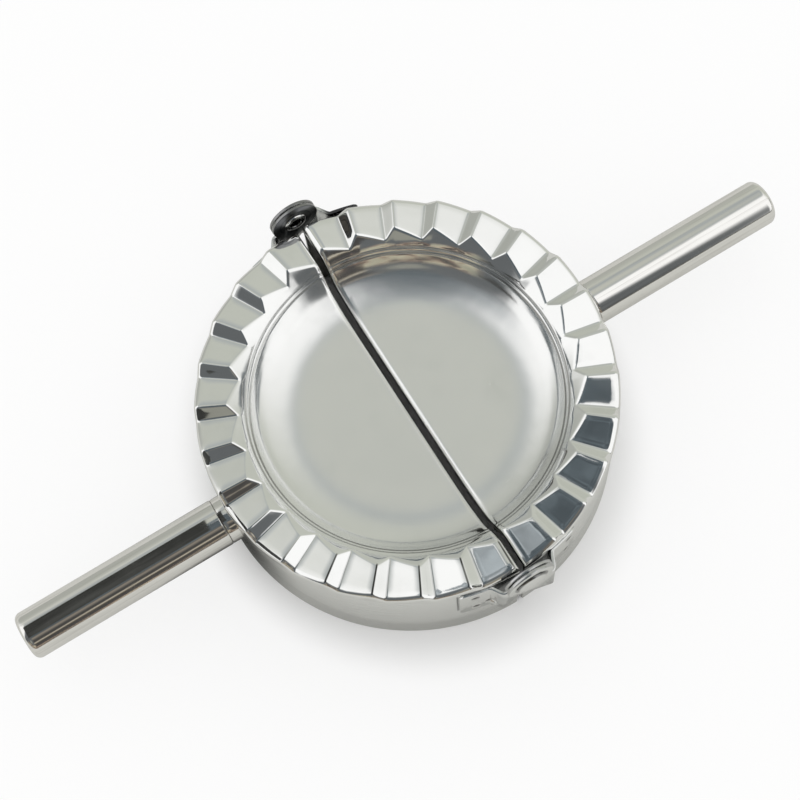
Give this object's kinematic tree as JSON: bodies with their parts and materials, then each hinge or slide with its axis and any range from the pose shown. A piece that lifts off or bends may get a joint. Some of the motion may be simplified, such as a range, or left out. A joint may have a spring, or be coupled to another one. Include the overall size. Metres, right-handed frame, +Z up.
{
  "type": "empanada press",
  "caption": "Folding stainless steel dough press: half dishes with saw-tooth crimping flanges on cutter bands, riveted hinges at both ends of the split, round tube handles.",
  "frame": {"origin": "on the table under the middle of the split, midway between the two hinges, with the press lying open and flat", "axes": "+X towards the handle of the half that folds, +Y towards the rear hinge, +Z up"},
  "size_m": [0.1984, 0.1044, 0.0361],
  "materials": {
    "pressed_steel": "polished stainless sheet with a satin dish floor",
    "band_steel": "polished stainless sheet",
    "leaf_steel": "bright pressed stainless sheet",
    "rivet_steel": "bright steel",
    "handle_steel": "mirror-polished stainless tube",
    "fastener_steel": "plain steel"
  },
  "bodies": {
    "left_half": {"left_dish": "pressed_steel", "left_cutter_band": "band_steel", "left_front_leaf": "leaf_steel", "left_rear_leaf": "leaf_steel", "front_rivet": "rivet_steel", "rear_rivet": "rivet_steel", "front_washer": "fastener_steel", "rear_washer": "fastener_steel", "left_handle_tube": "handle_steel", "left_handle_cap": "handle_steel", "left_handle_screw": "fastener_steel", "left_saddle_washer": "fastener_steel"},
    "right_half": {"right_dish": "pressed_steel", "right_cutter_band": "band_steel", "right_front_leaf": "leaf_steel", "right_rear_leaf": "leaf_steel", "right_handle_tube": "handle_steel", "right_handle_cap": "handle_steel", "right_handle_screw": "fastener_steel", "right_saddle_washer": "fastener_steel"}
  },
  "joints": [
    {"name": "fold", "type": "hinge", "parent": "left_half", "child": "right_half", "pos_m": [0, 0, 0.0303], "axis": [0, -1, 0], "range_deg": [0, 180]}
  ]
}
